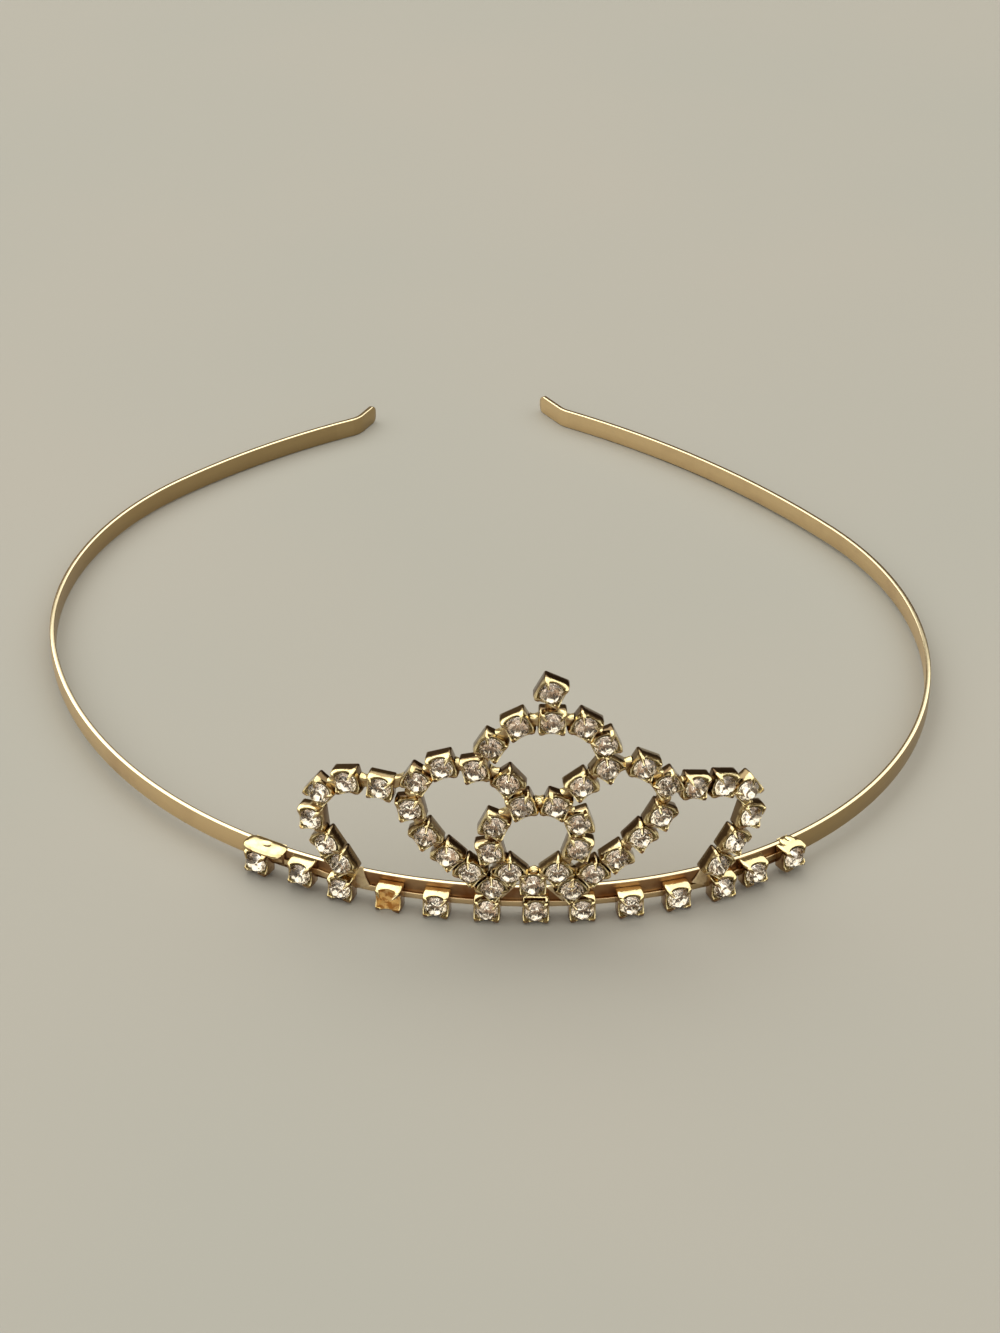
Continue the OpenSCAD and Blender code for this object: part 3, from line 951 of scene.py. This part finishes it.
def kite_height(radius, inner, outer):
    """Height of a kite's side corner, on the plane through its inner and outer corners."""
    (r0, z0), (r1, z1) = inner, outer
    reach = radius * math.cos(math.pi / FACETS)
    return z0 + (z1 - z0) * (reach - r0) / (r1 - r0)


def stone_half(inner_width, inner_z, kite_r, girdle_z, first, flip):
    """Facets between a small flat and the girdle: kites, then triangles along the girdle."""
    r0, r1 = inner_width / 2, STONE_WIDTH / 2
    points = stone_ring(FACETS, r0, inner_z, 0)
    points += stone_ring(FACETS, kite_r, kite_height(kite_r, (r0, inner_z), (r1, girdle_z)), 0.5)
    points += stone_ring(2 * FACETS, r1, girdle_z, 0)
    flat, kite, girdle = first, first + FACETS, first + 2 * FACETS
    faces = [list(range(flat, flat + FACETS))]
    for k in range(FACETS):
        n = (k + 1) % FACETS
        before = (k - 1) % FACETS
        faces += [[flat + k, kite + k, flat + n],
                  [flat + k, kite + before, girdle + 2 * k, kite + k],
                  [kite + k, girdle + 2 * k, girdle + 2 * k + 1],
                  [kite + k, girdle + 2 * k + 1, girdle + 2 * n]]
    if flip:
        faces = [face[::-1] for face in faces]
    return points, faces, girdle


# %% The stone
def make_stone():
    points, faces, upper = stone_half(TABLE_WIDTH, TABLE_Z, CROWN_KITE_R,
                                      GIRDLE_Z + GIRDLE_THICK, 0, False)
    crown_faces = len(faces)
    more, back, lower = stone_half(CULET_WIDTH, CULET_Z, BACK_KITE_R, GIRDLE_Z, len(points), True)
    points += more
    count = 2 * FACETS
    girdle = [[lower + k, lower + (k + 1) % count, upper + (k + 1) % count, upper + k]
              for k in range(count)]
    stone = new_object("stone_master", points, faces + girdle + back)
    foiled = [0.0] * (crown_faces + count) + [1.0] * len(back)
    stone.data.attributes.new("foiled", "FLOAT", "FACE").data.foreach_set("value", foiled)
    return put_aside(stone)


stone_master = make_stone()

# %% [markdown]
# ## Setting things along a route
# Cups, stones and links all repeat along the same routes, so one tree sets any of them: it puts a
# copy of a piece on every point of a route, turned as the point says. A little seeded wobble
# keeps the row from looking machined. The stone and its cup use the same seed and the same
# points, so they lean together, and only the stone gets a free spin about its own axis.

# %% Setting tree
SPIN_SEED = 7
SHADE_SEED = 3


def chance(nodes, low, high, seed, kind="FLOAT"):
    """A random value for each copy."""
    return nodes.add("FunctionNodeRandomValue", {"data_type": kind}, {
        "Min": low, "Max": high, "Seed": seed})


def turned(nodes, turn, angles):
    """A rotation that is turned on about its own axes."""
    more = nodes.add("FunctionNodeEulerToRotation", inputs=[angles])
    return nodes.add("FunctionNodeRotateRotation", {"rotation_space": "LOCAL"}, [turn, more])


def setting_tree():
    nodes, points = new_tree("set_along_route", [
        ("Piece", "Object", None), ("Wobble", "Float", 0.0), ("Spin", "Float", 0.0),
        ("Seed", "Int", 0), ("Finish", "Material", None), ("Back Finish", "Material", None)])
    piece = nodes.add("GeometryNodeObjectInfo", inputs={"Object": points.output("Piece")},
                      output="Geometry")
    wobble, spin, seed = (points.output(name) for name in ("Wobble", "Spin", "Seed"))
    stretch = carried_field(nodes, "stretch", "FLOAT_VECTOR")
    turn = nodes.add("FunctionNodeEulerToRotation", inputs=[
        carried_field(nodes, "facing", "FLOAT_VECTOR")])
    low = nodes.add("ShaderNodeCombineXYZ", inputs=[wobble * -1] * 3)
    high = nodes.add("ShaderNodeCombineXYZ", inputs=[wobble] * 3)
    turn = turned(nodes, turn, chance(nodes, low, high, seed, "FLOAT_VECTOR"))
    spin = chance(nodes, spin * -1, spin, seed + SPIN_SEED)
    turn = turned(nodes, turn, nodes.add("ShaderNodeCombineXYZ", inputs={"Z": spin}))
    copies = nodes.add("GeometryNodeInstanceOnPoints", inputs={
        "Points": points, "Instance": piece, "Rotation": turn, "Scale": stretch})
    shade = chance(nodes, 0.0, 1.0, seed + SHADE_SEED)
    copies = nodes.add("GeometryNodeStoreNamedAttribute", {
        "data_type": "FLOAT", "domain": "INSTANCE"}, {
        "Geometry": copies, "Name": "shade", "Value": shade})
    solid = nodes.add("GeometryNodeRealizeInstances", inputs={"Geometry": copies})
    solid = nodes.add("GeometryNodeSetMaterial", inputs={
        "Geometry": solid, "Material": points.output("Finish")})
    solid = nodes.add("GeometryNodeSetMaterial", inputs={
        "Geometry": solid, "Selection": carried_field(nodes, "foiled").math("GREATER_THAN", 0.5),
        "Material": points.output("Back Finish")})
    nodes.add("NodeGroupOutput", inputs=[solid])
    return nodes.tree


set_along_route = setting_tree()


# %% A row of copies
def set_row(name, piece, frames, metal, seed, back=None, wobble=0.0, spin=0.0,
            stretches=None, tarnish=None, darken_rear=0.0):
    """A copy of the piece on each frame, all as one plain mesh."""
    row = new_object(name, [f.to_translation() for f in frames])
    give(row, "facing", "FLOAT_VECTOR", [f.to_euler() for f in frames])
    give(row, "stretch", "FLOAT_VECTOR", stretches or [(1, 1, 1)] * len(frames))
    give(row, "tarnish", "FLOAT", tarnish or [0] * len(frames))
    give(row, "heated", "FLOAT", [darken_rear] * len(frames))
    run_tree(row, set_along_route, {
        "Piece": piece, "Wobble": wobble, "Spin": spin, "Seed": seed,
        "Finish": metal, "Back Finish": back or metal})
    return settle(row)


# %% [markdown]
# ## Where the cups stand
# Chain turns as it goes, and each square cup turns with it. So a cup's roll isn't typed in: it is
# the bearing from the cup before it to the cup after it, plus the few degrees by which some have
# twisted. Where two chains meet they share a cup, and only one of them makes it.

# %% Where the cups of each chain stand
def bearing(start, end):
    return math.degrees(math.atan2(end[1] - start[1], end[0] - start[0]))


def chain_places(route):
    """Places (distance, height, roll) of a chain's own cups, each turned along its chain."""
    closed = route in RINGS
    last = len(route) - 1
    places = []
    for k, (distance, height, own, *twist) in enumerate(route):
        before = route[k - 1] if k > 0 or closed else route[0]
        beyond = route[(k + 1) % len(route)] if k < last or closed else route[last]
        if own:
            places.append((distance * MM, height * MM, bearing(before, beyond) + sum(twist)))
    return places


BASE_PLACES = [(*base_place(cup), 0) for cup in BASE_CUPS]
FINIAL_PLACES = [(FINIAL[0] * MM, FINIAL[1] * MM, FINIAL_TILT)]
CHAINS = {
    "base": (BASE_PLACES, "base_stones"),
    **{name: (chain_places(route), name + "_stones") for name, route in ROUTES.items()},
    "finial": (FINIAL_PLACES, "finial_stone"),
}
print("cups in all:", sum(len(places) for places, node in CHAINS.values()))

# %% Cups and stones
CUP_WOBBLE = math.radians(1.5)
BASE_WOBBLE = math.radians(0.8)
STONE_SPIN = math.radians(22)
FIRST_SEED = 11
SEED_STEP = 5


def make_chain(name, seed):
    places, node = CHAINS[name]
    base = name == "base"
    wobble = BASE_WOBBLE if base else CUP_WOBBLE
    tarnish = [float(base and k == EMPTY_CUP) for k in range(len(places))]
    frames = [on_face(*place) for place in places]
    # The arches' cups get the painted dark reflection at the rear of their walls.
    cups = set_row(name + "_cups", cup_master, frames, cup_metal, seed, wobble=wobble,
                   tarnish=tarnish, darken_rear=float(not base))
    hand_in(cups, "cup_gold", "crown_setting")
    filled = [(0 if t else 1,) * 3 for t in tarnish]
    stones = set_row(node + "_cut", stone_master, frames, clear, seed, back=backing,
                     wobble=wobble, spin=STONE_SPIN, stretches=filled)
    stones.data.shade_flat()
    hand_in(stones, "crystal", node)


for number, chain_name in enumerate(CHAINS):
    make_chain(chain_name, FIRST_SEED + SEED_STEP * number)

# %% [markdown]
# ## Links
# Between two cups the chain shows a short link, a little narrower in its middle where the sheet
# was drawn. On the base row the links are flat and lie on the strip. One length of link is made
# and stretched only along its own length, so that its rounded edges keep their true size.

# %% A length of link
LINK_STEPS = 8
LINK_SIDES = 20
LINK_DULLNESS = 0.15
WEB_WIDTH = 2.0 * MM
WEB_THICK = 1.3 * MM
STRAP_WIDTH = 0.95 * MM
STRAP_THICK = 0.3 * MM


def make_link(name, width, thick, waist, squareness):
    """A rounded bar one metre long, which the tree stretches down to the gap."""
    points = []
    for k in range(LINK_STEPS + 1):
        x = k / LINK_STEPS - 0.5
        wide = width * (waist + (1 - waist) * (2 * x) ** 2) / 2
        for j in range(LINK_SIDES):
            a = 2 * math.pi * (j + 0.5) / LINK_SIDES
            c, s = math.cos(a), math.sin(a)
            y = math.copysign(abs(c) ** squareness, c) * wide
            z = math.copysign(abs(s) ** squareness, s) * thick / 2
            points.append((x, y, thick / 2 + z))
    rings = [list(range(k * LINK_SIDES, (k + 1) * LINK_SIDES)) for k in range(LINK_STEPS + 1)]
    faces = [rings[0][::-1], rings[-1]]
    for lower, upper in zip(rings, rings[1:]):
        for j in range(LINK_SIDES):
            n = (j + 1) % LINK_SIDES
            faces.append([lower[j], lower[n], upper[n], upper[j]])
    link = new_object(name, points, faces)
    give(link, "inside", "FLOAT", [LINK_DULLNESS] * len(points))
    return put_aside(link)


web_master = make_link("web_master", WEB_WIDTH, WEB_THICK, waist=0.78, squareness=0.45)
strap_master = make_link("strap_master", STRAP_WIDTH, STRAP_THICK, waist=0.92, squareness=0.3)

# %% Links of the chains
LINK_SEED = 71
STRAP_SEED = 72


def links(pairs):
    """The frame and the stretch of a link between each two places."""
    frames, stretches = [], []
    for start, end in pairs:
        gap = math.dist(start[:2], end[:2]) - CUP_WIDTH + 2 * CUP_WALL
        middle = [(a + b) / 2 for a, b in zip(start[:2], end[:2])]
        frames.append(on_face(*middle, bearing(start, end)))
        stretches.append((gap, 1, 1))
    return frames, stretches


def in_metres(point):
    return point[0] * MM, point[1] * MM, *point[2:]


def route_pairs(route):
    """Neighbours along a route, apart from two shared cups, whose link belongs to another."""
    points = [in_metres(p) for p in route]
    pairs = list(zip(points, points[1:] + points[:1]))
    if route not in RINGS:
        pairs.pop()
    return [(a, b) for a, b in pairs if a[2] + b[2] > 0]


def make_links():
    pairs = [(in_metres(TOP_RING[0]), in_metres(FINIAL))]
    for route in ROUTES.values():
        pairs += route_pairs(route)
    frames, stretches = links(pairs)
    webs = set_row("chain_links", web_master, frames, cup_metal, LINK_SEED,
                   wobble=CUP_WOBBLE, stretches=stretches)
    hand_in(webs, "cup_gold", "crown_setting")
    frames, stretches = links(zip(BASE_PLACES, BASE_PLACES[1:]))
    straps = set_row("base_links", strap_master, frames, strip_metal, STRAP_SEED,
                     stretches=stretches)
    hand_in(straps, "cup_gold", "crown_setting")


make_links()

# %% [markdown]
# ## End tabs
# Each end of the base chain has a tab of sheet that is folded over the strip's upper edge and
# pinched. From above it is a bright rounded plate; in front a leg goes down to the chain and
# behind a short lip grips the strip. All three are one sheet bent round the strip, so they are
# made as bent plates that follow it, with their edges rounded by a bevel.

# %% The top of a tab
TAB_COLUMNS = 20
TAB_ROWS = 14
BACK_FALL = 0.2 * MM
FRONT_FALL = 0.5 * MM
DENT_DEPTH = 0.14 * MM
DENT_U, DENT_V = 0.05, 0.1
DENT_WIDE, DENT_LONG = 0.12, 0.3


def beside_strip(distance, offset, height):
    """A point at an outward offset from the strip's middle line."""
    x, y, direction = face_at(distance)
    a = math.radians(direction)
    return Vector((x + offset * math.sin(a), y - offset * math.cos(a), height))


def sunk(u, v):
    """How far the tab's rounded top has sunk below its highest part; v is -1 in front."""
    fall = FRONT_FALL * max(-v, 0) ** 3 + BACK_FALL * (max(v, 0) ** 4 + u ** 10)
    dent = math.exp(-((u - DENT_U) / DENT_WIDE) ** 2 - ((v - DENT_V) / DENT_LONG) ** 2)
    return fall + DENT_DEPTH * dent


print("the middle of a tab is sunk by", round(sunk(0, 0) / MM, 3), "mm")


# %% A plate bent along the strip
def bent_plate(name, middle, length, inner, outer, low, high, corner=0.0):
    """A plate between two offsets and two heights; with a corner radius it is also domed."""
    upper, lower = [], []
    for r in range(TAB_ROWS + 1):
        depth = outer - (outer - inner) * r / TAB_ROWS
        cut = max(corner - min(outer - depth, depth - inner), 0)
        half = length / 2 - corner + math.sqrt(max(corner ** 2 - cut ** 2, 0))
        for c in range(TAB_COLUMNS + 1):
            u = 2 * c / TAB_COLUMNS - 1
            v = 2 * r / TAB_ROWS - 1
            fall = sunk(u, v) if corner else 0
            upper.append(beside_strip(middle + u * half, depth, high - fall))
            lower.append(beside_strip(middle + u * half, depth, low - fall))
    count = len(upper)
    wide = TAB_COLUMNS + 1
    faces = []
    for r in range(TAB_ROWS):
        for c in range(TAB_COLUMNS):
            a = r * wide + c
            face = [a, a + 1, a + 1 + wide, a + wide]
            faces += [face, [count + i for i in face[::-1]]]
    ring = list(range(wide)) + [r * wide + TAB_COLUMNS for r in range(1, TAB_ROWS + 1)]
    ring += [TAB_ROWS * wide + c for c in range(TAB_COLUMNS - 1, -1, -1)]
    ring += [r * wide for r in range(TAB_ROWS - 1, 0, -1)]
    for a, b in zip(ring, ring[1:] + ring[:1]):
        faces.append([b, a, count + a, count + b])
    return new_object(name, upper + lower, faces)


# %% The tabs
# A tab: its middle in pitches of the base chain, its length and its reach in front
TABS = {
    "left_tab": (-5.89, 6.3 * MM, 2.1 * MM),
    "right_tab": (5.72, 2.3 * MM, 1.5 * MM),
}
TAB_THICK = 0.25 * MM
TAB_CORNER = 1.1 * MM
LIP_HEIGHT = 1.2 * MM
LIP_THICK = 0.2 * MM
LEG_SHARE = 0.9
LIP_SHARE = 0.8
TAB_EDGE_ROUND = 0.08 * MM


def round_edges(piece):
    rounding = piece.modifiers.new("rounding", "BEVEL")
    rounding.width = TAB_EDGE_ROUND
    rounding.segments = 3
    rounding.angle_limit = math.radians(50)


def make_tab(name):
    place, length, reach = TABS[name]
    middle = place * BASE_PITCH
    top = BAND_WIDTH + SOLDER_GAP
    parts = [
        bent_plate(name + "_top", middle, length, -SEAT - LIP_THICK * 0.5, SEAT + reach,
                   top, top + TAB_THICK, corner=TAB_CORNER),
        bent_plate(name + "_leg", middle, length * LEG_SHARE, SEAT, SEAT + STRAP_THICK,
                   BASE_LEVEL, top),
        bent_plate(name + "_lip", middle, length * LIP_SHARE, -SEAT - LIP_THICK, -SEAT,
                   BAND_WIDTH - LIP_HEIGHT, BAND_WIDTH - SOLDER_GAP),
    ]
    for part in parts:
        round_edges(part)
        part.data.materials.append(cup_metal)
        settle(part, crease=60)
        give(part, "shade", "FLOAT", [1.0] * len(part.data.vertices))
        hand_in(part, "cup_gold", "crown_setting")


for tab_name in TABS:
    make_tab(tab_name)

# %% [markdown]
# ## Feet and solder
# The arches are soldered to the base row by their flattened last links, and wherever two chains
# touch there is a small lump of solder. Solder runs while it is hot, so it has no edges: a drop
# is a sphere that is flattened and then pushed in and out a little by smooth noise.

# %% The feet
FOOT_WIDTH = 3.2 * MM
FOOT_SEED = 81
# A row: distance and height of a foot's upper end, its direction in degrees and its length
FEET = [
    (-25.0, 3.4, -72, 3.3),
    (-5.5, 4.3, -41, 2.8),
    (5.0, 4.0, -138, 2.8),
    (24.9, 3.5, -118, 3.2),
]


def make_feet():
    foot = make_link("foot_master", FOOT_WIDTH, STRAP_THICK, waist=0.85, squareness=0.35)
    for point in foot.data.vertices:
        point.co.x += 0.5  # so that the link starts at its place
    frames = [on_face(d * MM, h * MM, turn) for d, h, turn, length in FEET]
    stretches = [(length * MM, 1, 1) for *_, length in FEET]
    feet = set_row("soldered_feet", foot, frames, solder_metal, FOOT_SEED, stretches=stretches)
    hand_in(feet, "cup_gold", "crown_setting")


make_feet()

# %% The drops of solder
DROP_RADIUS = 0.5
DROP_SEED = 82
DROP_SPIN = math.radians(30)
# Lumps of a drop: how close they are, and how high for the drop's size
DROP_LUMPS = ((3.1, 0.12), (7.0, 0.05))
# A row: distance, height, how far out it starts, and its own width, height and depth
SOLDER_DROPS = [
    (-16.1, 18.8, 0.4, 2.0, 1.7, 1.5),
    (0.0, 7.2, 0.6, 1.5, 1.0, 1.2),
    (0.7, 18.4, 0.4, 1.4, 1.2, 1.2),
    (9.2, 25.8, 0.4, 1.6, 1.6, 1.3),
    (-6.7, 25.8, 0.4, 1.6, 1.6, 1.3),
    (17.4, 17.4, 0.4, 1.8, 1.6, 1.3),
    (-5.9, 3.2, 0.0, 2.6, 1.6, 0.9),
    (5.6, 2.9, 0.0, 2.6, 1.6, 0.9),
    (2.2, 34.1, 0.3, 1.5, 1.4, 1.2),
]


def make_drop():
    """A solder drop one metre across, which the tree scales down."""
    drop = new_object("drop_master", [])
    shape = bmesh.new()
    bmesh.ops.create_icosphere(shape, subdivisions=3, radius=DROP_RADIUS)
    for point in shape.verts:
        point.co *= 1 + sum(noise.noise(point.co * close) * high for close, high in DROP_LUMPS)
    shape.to_mesh(drop.data)
    shape.free()
    return put_aside(drop)


def make_drops():
    frames = [on_face(d * MM, h * MM) @ Matrix.Translation((0, 0, out * MM + deep * MM / 2))
              for d, h, out, wide, tall, deep in SOLDER_DROPS]
    stretches = [(wide * MM, tall * MM, deep * MM) for *_, wide, tall, deep in SOLDER_DROPS]
    drops = set_row("solder_drops", make_drop(), frames, cup_metal, DROP_SEED,
                    spin=DROP_SPIN, stretches=stretches)
    hand_in(drops, "cup_gold", "crown_setting")


make_drops()
